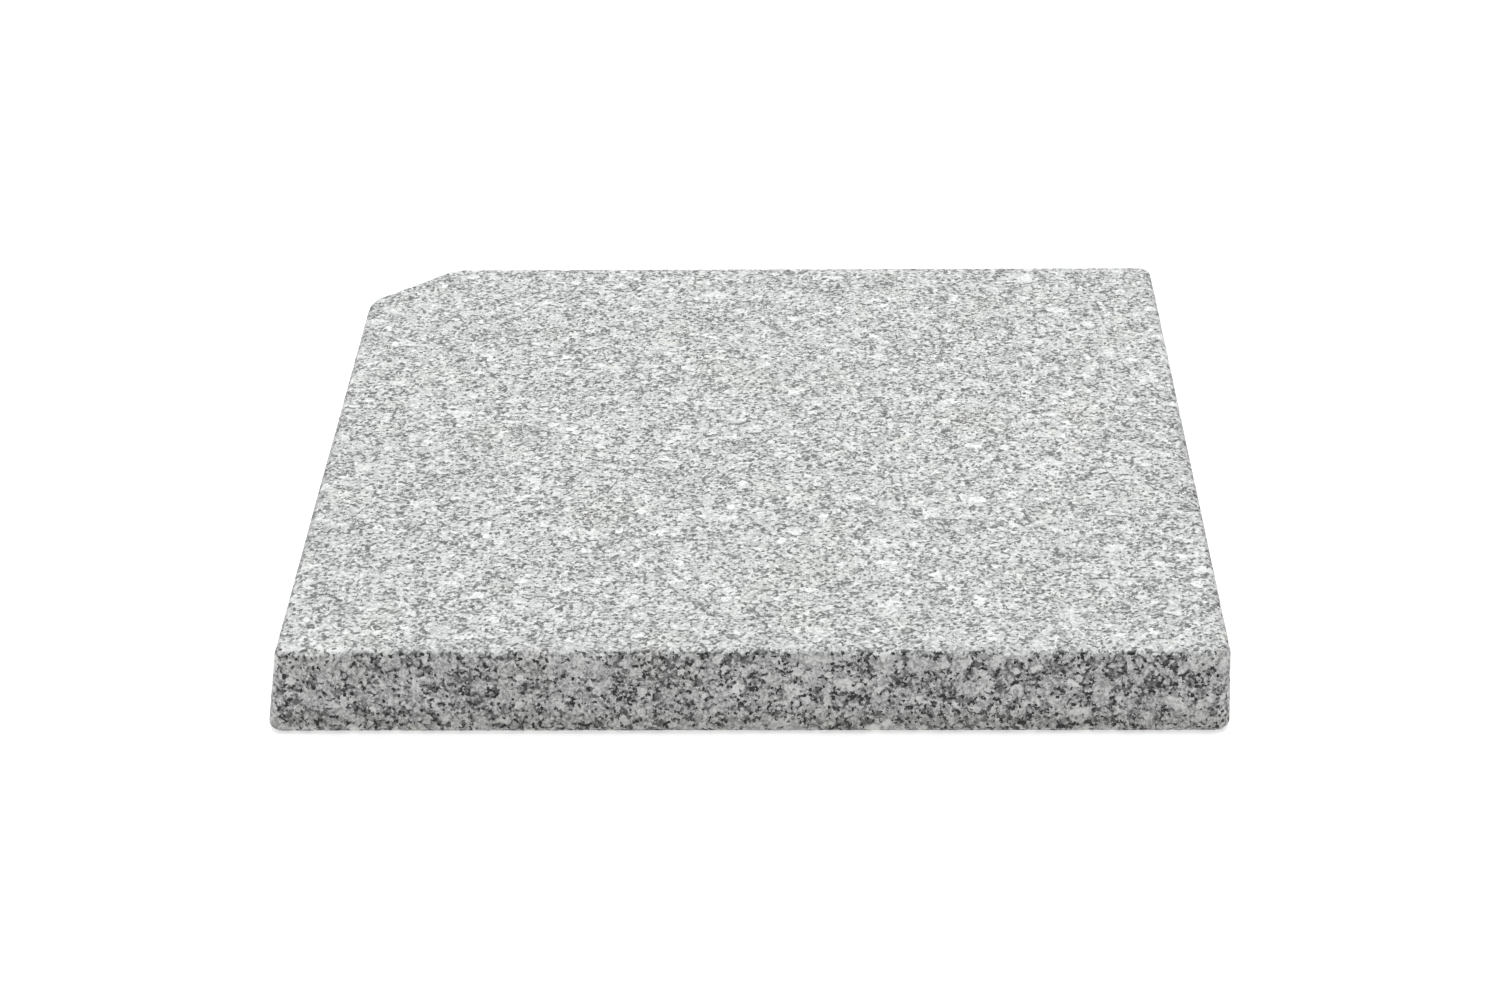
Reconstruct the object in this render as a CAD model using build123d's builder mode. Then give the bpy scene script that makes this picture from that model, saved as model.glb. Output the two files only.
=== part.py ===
"""A stone bench slab: one square block of granite with one corner cut off.

The frame has its origin in the middle of the underside. +Z is up, the front is -Y,
and the cut corner is at the back left, at -X and +Y.
"""
from build123d import *
import math
import os

# Driving dimensions, in millimetres
side = 300.0            # finished width and depth, at the widest, just above the underside
thickness = 28.0        # underside to working face
corner_cut = 29.0       # leg of the 45 degree cut along each side, on the working face
side_lean = 2.3         # how far each sawn side leans inwards between underside and top
corner_radius = 5.0     # upright corners, rounded in plan
top_arris = 3.0         # rounding between the working face and the sides
bottom_arris = 3.0      # rounding between the underside and the sides

# Each leaning side loses a little width where its foot is rounded, so the block is
# drawn that much larger, as if its lower edges were still sharp
lean = math.atan(side_lean / thickness)
foot_loss = bottom_arris * ((1 + math.sin(lean)) / math.cos(lean) - 1)
foot_side = side + 2 * foot_loss

# The cut leans inwards with the two sides it joins, which shortens its legs on the way up
foot_cut = corner_cut + (2 - math.sqrt(2)) * side_lean

os.makedirs("parts", exist_ok=True)

# The slab is the whole object: outline, cut corner, leaning sides, rounded arrises
with BuildPart() as slab:
    with BuildSketch() as outline:
        Rectangle(foot_side, foot_side)
        back_left = outline.vertices().sort_by(Axis.X)[:2].sort_by(Axis.Y)[-1]
        chamfer(back_left, length=foot_cut)
        fillet(outline.vertices(), radius=corner_radius)
    extrude(amount=thickness, taper=math.degrees(lean))
    fillet(slab.faces().sort_by(Axis.Z)[-1].edges(), radius=top_arris)
    fillet(slab.faces().sort_by(Axis.Z)[0].edges(), radius=bottom_arris)
slab.part.label = "slab"
export_step(slab.part, "parts/slab.step")
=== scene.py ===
"""A granite bench slab with one cut corner, on a plain pale floor in soft studio light."""
import math

import bmesh
import bpy
from mathutils import Matrix, Vector, noise


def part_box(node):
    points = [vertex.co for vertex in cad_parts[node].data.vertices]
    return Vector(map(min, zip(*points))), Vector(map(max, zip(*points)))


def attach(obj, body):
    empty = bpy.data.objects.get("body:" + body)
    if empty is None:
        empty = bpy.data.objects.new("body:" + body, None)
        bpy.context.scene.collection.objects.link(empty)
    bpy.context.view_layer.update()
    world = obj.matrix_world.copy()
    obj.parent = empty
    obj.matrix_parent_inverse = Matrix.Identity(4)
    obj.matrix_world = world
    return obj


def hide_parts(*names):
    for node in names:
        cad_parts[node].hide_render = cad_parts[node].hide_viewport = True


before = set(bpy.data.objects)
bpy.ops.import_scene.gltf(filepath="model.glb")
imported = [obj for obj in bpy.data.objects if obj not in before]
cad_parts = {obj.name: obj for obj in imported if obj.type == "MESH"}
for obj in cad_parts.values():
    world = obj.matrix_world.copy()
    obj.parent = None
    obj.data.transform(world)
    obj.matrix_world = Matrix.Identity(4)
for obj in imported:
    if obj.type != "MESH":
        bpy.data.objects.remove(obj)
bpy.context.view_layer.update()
SLAB_LOW, SLAB_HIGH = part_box("slab")

bl_info = {
    "name": "Granite Slab",
    "version": (1, 0, 0),
    "blender": (4, 5, 0),
    "location": "3D View > Sidebar > Granite Slab",
    "description": "Cuts a granite bench slab, finishes its stone and sets a plain studio round it",
    "category": "Object",
}

MILLIMETRE = 0.001
SIDE = SLAB_HIGH.x - SLAB_LOW.x
THICKNESS = SLAB_HIGH.z - SLAB_LOW.z
CENTRE = (SLAB_LOW + SLAB_HIGH) / 2

# Scales of the wear, in millimetres
HOLLOW_LENGTH = 45.0
PIT_WIDTH = 1.7
NICK_WIDTH = 2.6
NICK_SPREAD = 9.0
FINE_NICKS = 0.65       # share of the nicks that are narrow
BROAD_NICKS = 0.5       # share of the nicks that are wide
RAGGED_CUT = 1.8        # the cut corner is left rougher than the other sides

FLAT_FOOT = 1e-5        # vertices this close to the underside stay on it
CORNER_STEPS = 6        # flats round an upright corner
ARRIS_STEPS = 5         # flats round an upper or lower edge

# Sizes inside the stone, in millimetres
MOTTLE_WIDTH = 0.95
STAIN_WIDTH = 34.0
CLUMP_WIDTH = 5.0
# The brushed pit width sizes the painted pit shade on the working face
PIT_SHADE_WIDTH = 1.5
# The grime width, top and full heights size the painted shade and warm grime at the foot of the sides
GRIME_AND_SHADE_WIDTH = 14.0
BRUSHED_DEPTH = 0.9     # the brushed finish fades out this far below the working face
BRUSHED_START = 0.1
GRIME_AND_SHADE_TOP = 10.0
GRIME_AND_SHADE_FULL = 4.0
BUMP_DEPTH = 0.15

# The studio, in metres from the middle of the underside
FLOOR_REACH = 2.2
OVERHEAD_PLACE = (0, 0.5, 2.0)
OVERHEAD_SIZE = 2.4
OVERHEAD_COLOUR = (0.975, 1.0, 1.012)
SIDE_PLACE = (1.8, -0.2, 0.9)
SIDE_SIZE = 1.2
BACKDROP_TOP = (0.17, 0.26)     # sine of the elevation where the backdrop starts and stops fading
SENSOR_WIDTH = 36               # millimetres


# ---------------------------------------------------------------- properties


class SlabShape(bpy.types.PropertyGroup):
    """Sizes of the cut block and of the wear on it."""

    corner_cut: bpy.props.FloatProperty(
        name="Corner Cut", description="Leg of the 45 degree cut, at the foot",
        default=0.03035, unit="LENGTH")
    side_lean: bpy.props.FloatProperty(
        name="Side Lean", description="How far each side leans inwards from foot to working face",
        default=0.0023, unit="LENGTH")
    top_drift: bpy.props.FloatProperty(
        name="Top Drift", description="How far the working face sits to the right of the foot",
        default=0.0015, unit="LENGTH")
    corner_radius: bpy.props.FloatProperty(
        name="Corner Radius", description="Rounding of the upright corners, in plan",
        default=0.005, unit="LENGTH")
    top_arris: bpy.props.FloatProperty(
        name="Top Arris", description="Rounding between the working face and the sides",
        default=0.003, unit="LENGTH")
    bottom_arris: bpy.props.FloatProperty(
        name="Bottom Arris", description="Rounding between the underside and the sides",
        default=0.003, unit="LENGTH")
    facet: bpy.props.FloatProperty(
        name="Facet", description="Width of the mesh facets that carry the relief of the stone",
        default=0.0013, unit="LENGTH")
    waviness: bpy.props.FloatProperty(
        name="Waviness", description="Depth of the long hollows that sawing leaves in the sides",
        default=0.00025, unit="LENGTH")
    grain_relief: bpy.props.FloatProperty(
        name="Grain Relief", description="Depth of the pits between grains",
        default=0.00008, unit="LENGTH")
    chip_depth: bpy.props.FloatProperty(
        name="Chip Depth", description="Depth of the largest nicks along the arrises",
        default=0.0007, unit="LENGTH")


class StoneFinish(bpy.types.PropertyGroup):
    """Colours and grain sizes of the granite."""

    feldspar: bpy.props.FloatVectorProperty(
        name="Feldspar", description="Pale grains that make up most of the stone",
        subtype="COLOR", default=(0.657, 0.655, 0.646))
    quartz: bpy.props.FloatVectorProperty(
        name="Quartz", description="Grey glassy grains between the feldspars",
        subtype="COLOR", default=(0.291, 0.290, 0.287))
    crystal: bpy.props.FloatVectorProperty(
        name="Crystal", description="Large pale feldspar crystals",
        subtype="COLOR", default=(0.74, 0.74, 0.72))
    bright_crystal: bpy.props.FloatVectorProperty(
        name="Bright Crystal", description="Small white feldspar crystals",
        subtype="COLOR", default=(0.75, 0.75, 0.735))
    mica: bpy.props.FloatVectorProperty(
        name="Mica", description="Dark biotite flecks",
        subtype="COLOR", default=(0.016, 0.0165, 0.017))
    cream: bpy.props.FloatVectorProperty(
        name="Cream", description="The few yellowish crystals",
        subtype="COLOR", default=(0.70, 0.67, 0.56))
    grain_size: bpy.props.FloatProperty(
        name="Grain Size", description="Width of a common grain, in millimetres", default=3.2)
    fleck_size: bpy.props.FloatProperty(
        name="Fleck Size", description="Width of a mica fleck, in millimetres", default=0.98)
    crystal_size: bpy.props.FloatProperty(
        name="Crystal Size", description="Width of a large crystal, in millimetres", default=4.6)
    # The whitening of the working face is partly its brushed finish and partly painted sheen
    top_frost_and_sheen: bpy.props.FloatProperty(
        name="Top Frost And Sheen", description="How far the grains of the brushed working face are whitened",
        subtype="FACTOR", default=0.40, min=0.0, max=1.0)
    fleck_frost_and_sheen: bpy.props.FloatProperty(
        name="Fleck Frost And Sheen", description="How far the flecks of the brushed working face are whitened",
        subtype="FACTOR", default=0.15, min=0.0, max=1.0)
    top_evenness: bpy.props.FloatProperty(
        name="Top Evenness", description="How evenly the flecks are spread over the brushed face",
        subtype="FACTOR", default=0.45, min=0.0, max=1.0)
    # The dark of the small pits is painted shade of the brushed face's fine relief
    pit_painted_shade: bpy.props.FloatProperty(
        name="Pit Painted Shade", description="How dark the small pits of the brushed face are",
        subtype="FACTOR", default=0.40, min=0.0, max=1.0)
    # The darkening at the foot of the sides is painted contact shade, with a slight warm tint of grime
    foot_grime_and_shade: bpy.props.FloatProperty(
        name="Foot Grime And Shade", description="How much the lowest few millimetres of the sides are darkened",
        subtype="FACTOR", default=0.60, min=0.0, max=1.0)


class StudioStage(bpy.types.PropertyGroup):
    """Floor, light and camera."""

    floor: bpy.props.FloatVectorProperty(
        name="Floor", description="Colour of the floor", subtype="COLOR", default=(0.56, 0.56, 0.56))
    floor_glow: bpy.props.FloatProperty(
        name="Floor Glow", description="Light that the floor gives off by itself", default=0.60)
    camera_distance: bpy.props.FloatProperty(
        name="Camera Distance", description="From the camera to the point it aims at",
        default=1.1584, unit="LENGTH")
    camera_height: bpy.props.FloatProperty(
        name="Camera Elevation", description="Angle of the view below the horizontal",
        default=math.radians(27.45), subtype="ANGLE")
    camera_swing: bpy.props.FloatProperty(
        name="Camera Swing", description="How far the camera stands to the right of the front",
        default=math.radians(1.25), subtype="ANGLE")
    camera_roll: bpy.props.FloatProperty(
        name="Camera Roll", description="Tilt of the horizon", default=math.radians(-0.69),
        subtype="ANGLE")
    aim_left: bpy.props.FloatProperty(
        name="Aim Left", description="How far to the left of the slab's middle the camera aims",
        default=0.0006, unit="LENGTH")
    aim_forward: bpy.props.FloatProperty(
        name="Aim Forward", description="How far in front of the slab's middle the camera aims",
        default=0.0461, unit="LENGTH")
    lens: bpy.props.FloatProperty(
        name="Lens", description="Focal length for a 36 mm wide sensor, in millimetres", default=83.4)
    key_power: bpy.props.FloatProperty(
        name="Key Power", description="Power of the overhead softbox, in watts", default=75.8)
    side_power: bpy.props.FloatProperty(
        name="Side Power", description="Power of each side softbox, in watts", default=4.0)
    sky: bpy.props.FloatProperty(
        name="Sky", description="Strength of the even light from above", default=0.13)
    horizon: bpy.props.FloatProperty(
        name="Horizon", description="Strength of the white backdrop all round", default=1.0)


# ---------------------------------------------------------------- the block


def new_block(shape):
    """A square block with one upright corner cut off at 45 degrees and its sides leaning in."""
    bm = bmesh.new()
    bmesh.ops.create_cube(bm, size=1.0)
    bmesh.ops.scale(bm, vec=(SIDE, SIDE, THICKNESS), verts=bm.verts)
    bmesh.ops.translate(bm, vec=CENTRE, verts=bm.verts)
    back_left = [e for e in upright_edges(bm)
                 if e.verts[0].co.x < CENTRE.x and e.verts[0].co.y > CENTRE.y]
    round_edges(bm, back_left, shape.corner_cut, segments=1)

    top = top_face(bm)
    foot_ring = list(top.verts)
    bmesh.ops.inset_individual(bm, faces=[top], thickness=shape.side_lean, use_even_offset=True)
    for outer in foot_ring:
        inner = min(top.verts, key=lambda v: (v.co - outer.co).length)
        bmesh.ops.weld_verts(bm, targetmap={outer: inner})
    bmesh.ops.translate(bm, vec=(shape.top_drift, 0, 0), verts=top_face(bm).verts)

    round_edges(bm, upright_edges(bm), shape.corner_radius, segments=CORNER_STEPS)
    round_edges(bm, top_face(bm).edges, shape.top_arris, segments=ARRIS_STEPS)
    round_edges(bm, bottom_face(bm).edges, shape.bottom_arris, segments=ARRIS_STEPS)
    return bm


def upright_edges(bm):
    """Edges that run from the underside to the top."""
    return [e for e in bm.edges if abs(e.verts[0].co.z - e.verts[1].co.z) > THICKNESS / 2]


def top_face(bm):
    """The face highest above the floor."""
    return max(bm.faces, key=lambda f: f.calc_center_median().z)


def bottom_face(bm):
    """The face that lies on the floor."""
    return min(bm.faces, key=lambda f: f.calc_center_median().z)


def round_edges(bm, edges, radius, segments):
    """Rounds edges, or cuts them flat with one segment."""
    bmesh.ops.bevel(bm, geom=list(edges), offset=radius, offset_type="OFFSET", segments=segments,
                    profile=0.5, affect="EDGES", material=-1)


def slice_into_facets(bm, facet):
    """Cuts every face but the underside into a fine grid that can carry the stone's relief."""
    underside = bottom_face(bm)
    for axis in range(3):
        low, high = SLAB_LOW[axis], SLAB_HIGH[axis]
        count = round((high - low) / facet)
        places = [low + (high - low) * step / count for step in range(1, count)]
        slice_faces(bm, [f for f in bm.faces if f is not underside], axis, places)


def slice_faces(bm, faces, axis, places):
    """Cuts faces across one axis at each place: at the middle one first, then in each half."""
    if not places or not faces:
        return
    middle = len(places) // 2
    geometry = set(faces)
    for face in faces:
        geometry.update(face.edges, face.verts)
    point = Vector((0, 0, 0))
    normal = Vector((0, 0, 0))
    point[axis] = places[middle]
    normal[axis] = 1
    cut = bmesh.ops.bisect_plane(bm, geom=list(geometry), dist=1e-7, plane_co=point, plane_no=normal)
    pieces = [g for g in cut["geom"] if isinstance(g, bmesh.types.BMFace)]
    before = [f for f in pieces if f.calc_center_median()[axis] < places[middle]]
    behind = [f for f in pieces if f.calc_center_median()[axis] >= places[middle]]
    slice_faces(bm, before, axis, places[:middle])
    slice_faces(bm, behind, axis, places[middle + 1:])


def wear_surface(bm, shape):
    """Sinks each vertex into the stone: long hollows, pits between grains and nicked arrises."""
    cut_direction = Vector((-1, 1, 0)).normalized()
    bm.normal_update()
    sunk = {}
    for vert in bm.verts:
        if vert.co.z < SLAB_LOW.z + FLAT_FOOT:
            continue
        place = vert.co / MILLIMETRE
        upright = 1 - abs(vert.normal.z)
        hollow = shape.waviness * upright * (0.5 + 0.5 * noise.noise(place / HOLLOW_LENGTH))
        pits = shape.grain_relief * (0.5 + 0.5 * noise.noise(place / PIT_WIDTH))
        on_arris = 4 * vert.normal.z ** 2 * (1 - vert.normal.z ** 2)
        nick = FINE_NICKS * noise.noise(place / NICK_WIDTH) + BROAD_NICKS * noise.noise(place / NICK_SPREAD)
        raggedness = RAGGED_CUT if vert.normal.dot(cut_direction) > 0.5 else 1
        chips = shape.chip_depth * raggedness * on_arris * min(max(nick, 0), 1)
        sunk[vert] = vert.normal * (hollow + pits + chips)
    for vert, depth in sunk.items():
        vert.co -= depth


def build_slab_mesh(shape):
    """The finished block as a mesh, with its relief and worn arrises."""
    bm = new_block(shape)
    slice_into_facets(bm, shape.facet)
    bmesh.ops.recalc_face_normals(bm, faces=bm.faces)
    wear_surface(bm, shape)
    mesh = bpy.data.meshes.new("stone_slab")
    bm.to_mesh(mesh)
    bm.free()
    mesh.shade_smooth()
    return mesh


# ---------------------------------------------------------------- the stone


class Wiring:
    """Adds nodes to a shader tree and links them, so that a pattern reads as a formula."""

    def __init__(self, tree):
        self.tree = tree

    def node(self, kind, settings=None, **inputs):
        """A new node; each input is a value or another node's output."""
        made = self.tree.nodes.new(kind)
        for setting, value in (settings or {}).items():
            setattr(made, setting, value)
        for name, value in inputs.items():
            self.feed(made.inputs[name.replace("_", " ")], value)
        return made

    def feed(self, socket, value):
        """Links an output to a socket, or sets the socket's own value."""
        if isinstance(value, bpy.types.NodeSocket):
            self.tree.links.new(value, socket)
        else:
            socket.default_value = value

    def maths(self, operation, first, second=0.0, third=0.0, clamp=False):
        """One Math node's result."""
        made = self.node("ShaderNodeMath", {"operation": operation, "use_clamp": clamp})
        for socket, value in zip(made.inputs, (first, second, third)):
            self.feed(socket, value)
        return made.outputs[0]

    def vector(self, operation, first, second=None, scale=None):
        """One Vector Math node's result."""
        made = self.node("ShaderNodeVectorMath", {"operation": operation})
        self.feed(made.inputs[0], first)
        if second is not None:
            self.feed(made.inputs[1], second)
        if scale is not None:
            self.feed(made.inputs["Scale"], scale)
        return made.outputs[0]

    def mix(self, share, first, second, blend="MIX"):
        """A mix of two colours."""
        made = self.node("ShaderNodeMix", {"data_type": "RGBA", "blend_type": blend})
        for socket, value in zip((made.inputs[0], made.inputs[6], made.inputs[7]), (share, first, second)):
            self.feed(socket, value)
        return made.outputs[2]

    def ramp(self, value, low, high, start=0.0, end=1.0):
        """Rises smoothly from start to end while the value goes from low to high."""
        made = self.node("ShaderNodeMapRange", {"interpolation_type": "SMOOTHSTEP"})
        for socket, number in zip(made.inputs, (value, low, high, start, end)):
            self.feed(socket, number)
        return made.outputs[0]

    def cloud(self, place, size, detail=2.0, roughness=0.5):
        """A noise node whose blotches are about as wide as size."""
        made = self.node("ShaderNodeTexNoise", Detail=detail, Roughness=roughness, Scale=1.0)
        self.feed(made.inputs["Vector"], self.vector("SCALE", place, scale=self.maths("DIVIDE", 1.0, size)))
        return made


def new_group(name, inputs, outputs):
    """An empty shader group with its sockets, and the wiring to fill it with."""
    tree = bpy.data.node_groups.new(name, "ShaderNodeTree")
    for direction, sockets in (("INPUT", inputs), ("OUTPUT", outputs)):
        for socket_name, kind in sockets:
            tree.interface.new_socket(name=socket_name, in_out=direction, socket_type="NodeSocket" + kind)
    wiring = Wiring(tree)
    return wiring, wiring.node("NodeGroupInput").outputs, wiring.node("NodeGroupOutput").inputs


def place_group(wiring, group, **inputs):
    """Puts a group into a tree and feeds its inputs."""
    made = wiring.node("ShaderNodeGroup", {"node_tree": group})
    for name, value in inputs.items():
        wiring.feed(made.inputs[name.replace("_", " ")], value)
    return made.outputs


def crystal_cells():
    """Group: space packed with crystals of one size, each with two random numbers of its own."""
    wiring, given, result = new_group(
        "Crystal Cells",
        [("Place", "Vector"), ("Size", "Float"), ("Warp", "Float")],
        [("Lot", "Float"), ("Second Lot", "Float"), ("Boundary", "Float")])
    ragged = wiring.cloud(given["Place"], wiring.maths("MULTIPLY", given["Size"], 0.6), detail=2.0)
    shift = wiring.vector("SUBTRACT", ragged.outputs["Color"], (0.5, 0.5, 0.5))
    reach = wiring.maths("MULTIPLY", given["Warp"], given["Size"])
    bent = wiring.vector("ADD", given["Place"], wiring.vector("SCALE", shift, scale=reach))
    packed = wiring.vector("SCALE", bent, scale=wiring.maths("DIVIDE", 1.0, given["Size"]))
    cells = wiring.node("ShaderNodeTexVoronoi", {"feature": "F1"}, Vector=packed, Scale=1.0)
    walls = wiring.node("ShaderNodeTexVoronoi", {"feature": "DISTANCE_TO_EDGE"}, Vector=packed, Scale=1.0)
    lots = wiring.node("ShaderNodeSeparateColor", Color=cells.outputs["Color"])
    wiring.feed(result["Lot"], lots.outputs[0])
    wiring.feed(result["Second Lot"], lots.outputs[1])
    wiring.feed(result["Boundary"], walls.outputs["Distance"])
    return wiring.tree


def granite_pattern(cells):
    """Group: the stone's colour, height and shine at a place given in millimetres."""
    wiring, given, result = new_group(
        "Granite Pattern",
        [("Place", "Vector"), ("Grain Size", "Float"), ("Fleck Size", "Float"), ("Crystal Size", "Float"),
         ("Feldspar", "Color"), ("Quartz", "Color"), ("Crystal", "Color"), ("Mica", "Color"),
         ("Cream", "Color"), ("Bright Crystal", "Color"), ("Evenness", "Float")],
        [("Color", "Color"), ("Dark", "Float"), ("Height", "Float"), ("Shine", "Float")])
    place = given["Place"]

    # Framework of feldspar and quartz grains, each with its own tone and soft mottling
    grain = place_group(wiring, cells, Place=place, Size=given["Grain Size"], Warp=0.7)
    chip = place_group(wiring, cells, Place=wiring.vector("ADD", place, (13.0, 29.0, 3.0)),
                       Size=wiring.maths("MULTIPLY", given["Grain Size"], 0.36), Warp=0.9)
    mottle = wiring.cloud(place, MOTTLE_WIDTH, detail=3.0, roughness=0.7).outputs["Fac"]
    tone = wiring.maths("MULTIPLY_ADD", grain["Lot"], 0.16, wiring.maths("MULTIPLY", chip["Lot"], 0.34))
    tone = wiring.maths("MULTIPLY_ADD", wiring.ramp(mottle, 0.32, 0.68), 0.62, tone)
    ground = wiring.mix(wiring.ramp(tone, 0.22, 0.98), given["Quartz"], given["Feldspar"])
    pale = wiring.maths("MULTIPLY", wiring.ramp(grain["Lot"], 0.74, 0.88),
                        wiring.ramp(grain["Boundary"], 0.0, 0.35))
    ground = wiring.mix(wiring.maths("MULTIPLY", pale, 0.38), ground, given["Crystal"])
    stain = wiring.ramp(wiring.cloud(place, STAIN_WIDTH, detail=4.0, roughness=0.6).outputs["Fac"],
                        0.50, 0.75, 0.0, 0.5)
    ground = wiring.mix(stain, ground, (1.0, 0.975, 0.90, 1), blend="MULTIPLY")

    # Large oblong crystals, a few of them cream
    oblong = wiring.vector("MULTIPLY", place, (0.62, 0.85, 1.0))
    large = place_group(wiring, cells, Place=oblong, Size=given["Crystal Size"], Warp=0.6)
    in_large = wiring.maths("MULTIPLY", wiring.ramp(large["Lot"], 0.930, 0.950),
                            wiring.ramp(large["Boundary"], 0.0, 0.30))
    crystal = wiring.mix(wiring.ramp(large["Second Lot"], 0.90, 0.91), given["Crystal"], given["Cream"])
    ground = wiring.mix(wiring.maths("MULTIPLY", in_large, wiring.ramp(mottle, 0.35, 0.60, 0.30, 0.65)),
                        ground, crystal)

    # Small bright crystals, scattered evenly
    small = place_group(wiring, cells, Place=wiring.vector("ADD", place, (3.0, 17.0, 23.0)),
                        Size=wiring.maths("MULTIPLY", given["Crystal Size"], 0.72), Warp=0.6)
    in_small = wiring.maths("MULTIPLY", wiring.ramp(small["Lot"], 0.973, 0.981),
                            wiring.ramp(small["Boundary"], 0.0, 0.16))
    ground = wiring.mix(wiring.maths("MULTIPLY", in_small, wiring.ramp(mottle, 0.30, 0.60, 0.45, 0.95)),
                        ground, given["Bright Crystal"])
    in_large = wiring.maths("MAXIMUM", in_large, in_small)

    # Mica flecks gather in clumps and along the boundaries of the grains
    clumps = wiring.cloud(place, CLUMP_WIDTH, detail=3.0, roughness=0.65).outputs["Fac"]
    share = wiring.ramp(clumps, 0.34, 0.66, 0.15, 0.79)
    share = wiring.ramp(given["Evenness"], 0.0, 1.0, share, 0.46)
    share = wiring.maths("MULTIPLY", share, wiring.ramp(grain["Boundary"], 0.03, 0.30, 1.2, 0.5))
    share = wiring.maths("MULTIPLY", share, wiring.ramp(pale, 0.0, 1.0, 1.0, 0.3))
    share = wiring.maths("MULTIPLY", share, wiring.ramp(in_large, 0.0, 1.0, 1.0, 0.15))
    flake = place_group(wiring, cells, Place=wiring.vector("ADD", place, (7.0, 3.0, 11.0)),
                        Size=given["Fleck Size"], Warp=1.0)
    in_flake = wiring.maths("LESS_THAN", flake["Lot"], wiring.maths("MULTIPLY", share, 0.80))
    flake_depth = wiring.ramp(flake["Second Lot"], 0.2, 1.0, 1.0, 0.3)
    ragged = wiring.cloud(place, wiring.maths("MULTIPLY", given["Fleck Size"], 1.35),
                          detail=2.0, roughness=0.6)
    over = wiring.maths("SUBTRACT", ragged.outputs["Fac"], wiring.ramp(share, 0.0, 1.0, 0.66, 0.44))
    blot = wiring.ramp(over, -0.04, 0.10, 0.0, 0.75)
    dark = wiring.maths("MAXIMUM", wiring.maths("MULTIPLY", in_flake, flake_depth), blot)
    wiring.feed(result["Color"], wiring.mix(dark, ground, given["Mica"]))
    wiring.feed(result["Dark"], dark)

    height = wiring.maths("MULTIPLY_ADD", grain["Lot"], 0.3, wiring.maths("MULTIPLY", mottle, 0.6))
    wiring.feed(result["Height"], wiring.maths("SUBTRACT", height, wiring.maths("MULTIPLY", dark, 0.5)))
    wiring.feed(result["Shine"], wiring.maths("MAXIMUM", dark, wiring.ramp(chip["Lot"], 0.30, 0.15)))
    return wiring.tree


def granite_material(finish):
    """Brushed, unpolished light grey granite."""
    material = bpy.data.materials.new("light_grey_granite")
    material.use_nodes = True
    material.node_tree.nodes.clear()
    wiring = Wiring(material.node_tree)
    place = wiring.node("ShaderNodeTexCoord").outputs["Object"]
    millimetres = wiring.vector("SCALE", place, scale=1 / MILLIMETRE)
    height = wiring.node("ShaderNodeSeparateXYZ", Vector=millimetres).outputs["Z"]
    top = THICKNESS / MILLIMETRE
    on_top = wiring.ramp(height, top - BRUSHED_DEPTH, top - BRUSHED_START)
    stone = place_group(
        wiring, granite_pattern(crystal_cells()), Place=millimetres,
        Grain_Size=finish.grain_size, Fleck_Size=finish.fleck_size, Crystal_Size=finish.crystal_size,
        Feldspar=(*finish.feldspar, 1), Quartz=(*finish.quartz, 1), Crystal=(*finish.crystal, 1),
        Mica=(*finish.mica, 1), Cream=(*finish.cream, 1), Bright_Crystal=(*finish.bright_crystal, 1),
        Evenness=wiring.maths("MULTIPLY", on_top, finish.top_evenness))

    # The working face is whitened, the grains more than the flecks: partly its brushed finish, partly
    # painted sheen of the light grazing across it
    frost_and_sheen = wiring.maths("MULTIPLY", on_top, wiring.ramp(
        stone["Dark"], 0.0, 0.8, finish.top_frost_and_sheen, finish.fleck_frost_and_sheen))
    colour = wiring.mix(frost_and_sheen, stone["Color"], (*finish.crystal, 1))
    # Painted shade: the small pits of the working face are darkened towards quartz grey, standing in for
    # the shading of its fine relief
    pit_noise = wiring.cloud(millimetres, PIT_SHADE_WIDTH, detail=2.0, roughness=0.6).outputs["Fac"]
    shaded = wiring.maths("MULTIPLY", on_top, wiring.ramp(pit_noise, 0.54, 0.34, 0.0, finish.pit_painted_shade))
    colour = wiring.mix(shaded, colour, (*finish.quartz, 1), blend="MULTIPLY")

    # Painted shade: the lowest few millimetres of the sides are darkened towards the floor as contact
    # shade, in a slightly warm grey that also reads as grime, more in some places than in others
    patches = wiring.cloud(millimetres, GRIME_AND_SHADE_WIDTH).outputs["Fac"]
    grime_and_shade = wiring.maths("MULTIPLY", wiring.ramp(height, GRIME_AND_SHADE_TOP, GRIME_AND_SHADE_FULL, 0.0, finish.foot_grime_and_shade),
                         wiring.ramp(patches, 0.35, 0.65, 0.65, 1.0))
    colour = wiring.mix(grime_and_shade, colour, (0.80, 0.79, 0.76, 1), blend="MULTIPLY")

    surface = wiring.node("ShaderNodeBsdfPrincipled", Base_Color=colour)
    surface.inputs["Specular IOR Level"].default_value = 0.3
    wiring.feed(surface.inputs["Roughness"], wiring.ramp(stone["Shine"], 0.0, 1.0, 0.62, 0.48))
    relief = wiring.node("ShaderNodeBump", Height=stone["Height"], Strength=0.5,
                         Distance=BUMP_DEPTH * MILLIMETRE)
    wiring.feed(surface.inputs["Normal"], relief.outputs["Normal"])
    output = wiring.node("ShaderNodeOutputMaterial")
    wiring.feed(output.inputs["Surface"], surface.outputs["BSDF"])
    return material


# ---------------------------------------------------------------- the studio


def floor_material(colour, glow):
    """Plain pale paper, lit a little from below so the contact with the slab stays white."""
    material = bpy.data.materials.new("pale_floor")
    material.use_nodes = True
    surface = material.node_tree.nodes["Principled BSDF"]
    surface.inputs["Base Color"].default_value = (*colour, 1)
    surface.inputs["Roughness"].default_value = 0.6
    surface.inputs["Emission Color"].default_value = (1, 1, 1, 1)
    surface.inputs["Emission Strength"].default_value = glow
    return material


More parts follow.
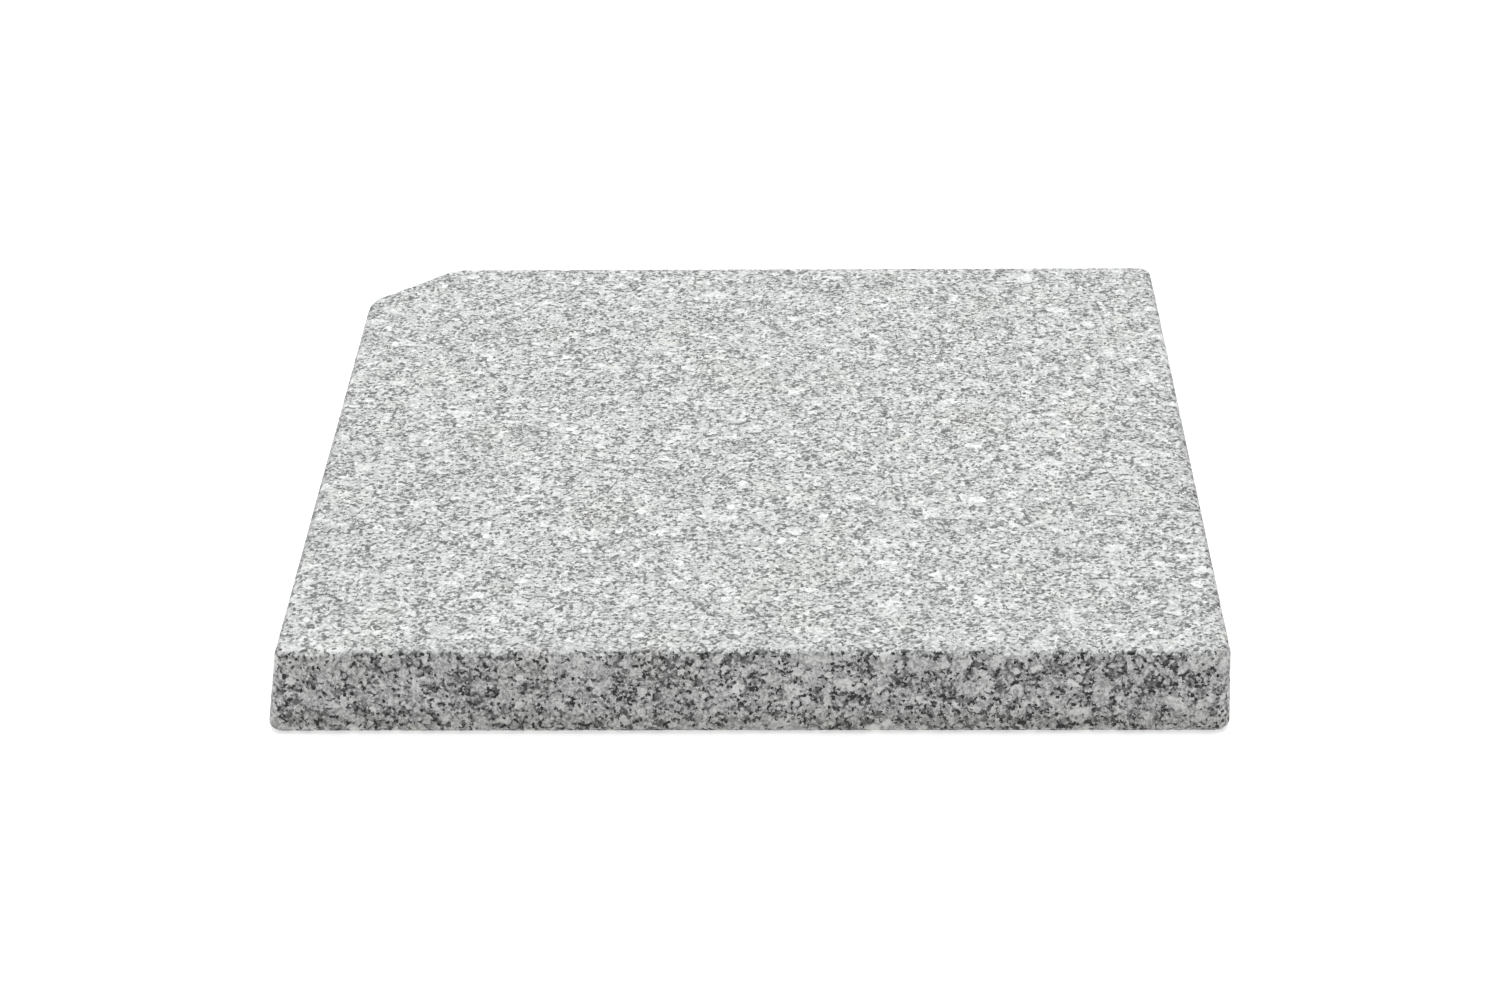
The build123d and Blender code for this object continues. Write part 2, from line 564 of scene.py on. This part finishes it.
def add_floor(stage):
    """A wide plain floor under the slab."""
    bm = bmesh.new()
    bmesh.ops.create_grid(bm, x_segments=1, y_segments=1, size=FLOOR_REACH)
    mesh = bpy.data.meshes.new("floor")
    bm.to_mesh(mesh)
    bm.free()
    mesh.materials.append(floor_material(stage.floor, stage.floor_glow))
    floor = bpy.data.objects.new("floor", mesh)
    bpy.context.scene.collection.objects.link(floor)


def add_softbox(name, place, size, power, colour=(1, 1, 1)):
    """A square soft light that faces the slab."""
    lamp = bpy.data.lights.new(name, "AREA")
    lamp.color = colour
    lamp.size = size
    lamp.energy = power
    softbox = bpy.data.objects.new(name, lamp)
    softbox.location = place
    softbox.rotation_euler = (CENTRE - Vector(place)).to_track_quat("-Z", "Y").to_euler()
    bpy.context.scene.collection.objects.link(softbox)


def add_sky(stage):
    """A white backdrop up to about ten degrees above the horizon, fading to dimmer light above it."""
    world = bpy.data.worlds.new("white_studio")
    world.use_nodes = True
    wiring = Wiring(world.node_tree)
    direction = wiring.node("ShaderNodeTexCoord").outputs["Generated"]
    upward = wiring.node("ShaderNodeSeparateXYZ", Vector=direction).outputs["Z"]
    backdrop = world.node_tree.nodes["Background"]
    backdrop.inputs["Color"].default_value = (1, 1, 1, 1)
    wiring.feed(backdrop.inputs["Strength"], wiring.ramp(upward, *BACKDROP_TOP, stage.horizon, stage.sky))
    bpy.context.scene.world = world


def add_camera(stage):
    """A long lens that looks down on the slab from the front."""
    data = bpy.data.cameras.new("camera")
    data.sensor_width = SENSOR_WIDTH
    data.lens = stage.lens
    camera = bpy.data.objects.new("camera", data)
    turn = (Matrix.Rotation(stage.camera_swing, 4, "Z")
            @ Matrix.Rotation(math.pi / 2 - stage.camera_height, 4, "X")
            @ Matrix.Rotation(stage.camera_roll, 4, "Z"))
    aim = Vector((CENTRE.x - stage.aim_left, CENTRE.y - stage.aim_forward, SLAB_HIGH.z))
    back = turn.to_3x3() @ Vector((0, 0, 1))
    camera.matrix_world = Matrix.Translation(aim + back * stage.camera_distance) @ turn
    bpy.context.scene.collection.objects.link(camera)
    bpy.context.scene.camera = camera


# ---------------------------------------------------------------- operators


class GRANITE_OT_cut_slab(bpy.types.Operator):
    """Cut the slab, wear its edges and give it its stone"""

    bl_idname = "granite.cut_slab"
    bl_label = "Cut Slab"

    def execute(self, context):
        mesh = build_slab_mesh(context.scene.slab_shape)
        mesh.materials.append(granite_material(context.scene.stone_finish))
        slab = bpy.data.objects.new("stone_slab", mesh)
        context.scene.collection.objects.link(slab)
        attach(slab, "root")
        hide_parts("slab")
        return {"FINISHED"}


class GRANITE_OT_set_stage(bpy.types.Operator):
    """Lay the floor and set the lights and the camera"""

    bl_idname = "granite.set_stage"
    bl_label = "Set Stage"

    def execute(self, context):
        stage = context.scene.studio_stage
        add_floor(stage)
        add_softbox("overhead_softbox", OVERHEAD_PLACE, OVERHEAD_SIZE, stage.key_power, OVERHEAD_COLOUR)
        across, forward, up = SIDE_PLACE
        for name, x in (("left_softbox", -across), ("right_softbox", across)):
            add_softbox(name, (x, forward, up), SIDE_SIZE, stage.side_power)
        add_sky(stage)
        add_camera(stage)
        context.scene.view_settings.view_transform = "Standard"
        return {"FINISHED"}


class GRANITE_PT_panel(bpy.types.Panel):
    """Granite slab settings and steps"""

    bl_label = "Granite Slab"
    bl_idname = "GRANITE_PT_panel"
    bl_space_type = "VIEW_3D"
    bl_region_type = "UI"
    bl_category = "Granite Slab"

    def draw(self, context):
        layout = self.layout
        for step in STEPS:
            layout.operator(step.bl_idname)
        for group in ("slab_shape", "stone_finish", "studio_stage"):
            settings = getattr(context.scene, group)
            for name in settings.__annotations__:
                layout.prop(settings, name)


STEPS = (GRANITE_OT_cut_slab, GRANITE_OT_set_stage)
CLASSES = (SlabShape, StoneFinish, StudioStage, *STEPS, GRANITE_PT_panel)


def register():
    for cls in CLASSES:
        bpy.utils.register_class(cls)
    bpy.types.Scene.slab_shape = bpy.props.PointerProperty(type=SlabShape)
    bpy.types.Scene.stone_finish = bpy.props.PointerProperty(type=StoneFinish)
    bpy.types.Scene.studio_stage = bpy.props.PointerProperty(type=StudioStage)


def unregister():
    del bpy.types.Scene.studio_stage
    del bpy.types.Scene.stone_finish
    del bpy.types.Scene.slab_shape
    for cls in reversed(CLASSES):
        bpy.utils.unregister_class(cls)


def main():
    register()
    bpy.ops.granite.cut_slab()
    bpy.ops.granite.set_stage()


if __name__ == "__main__":
    main()
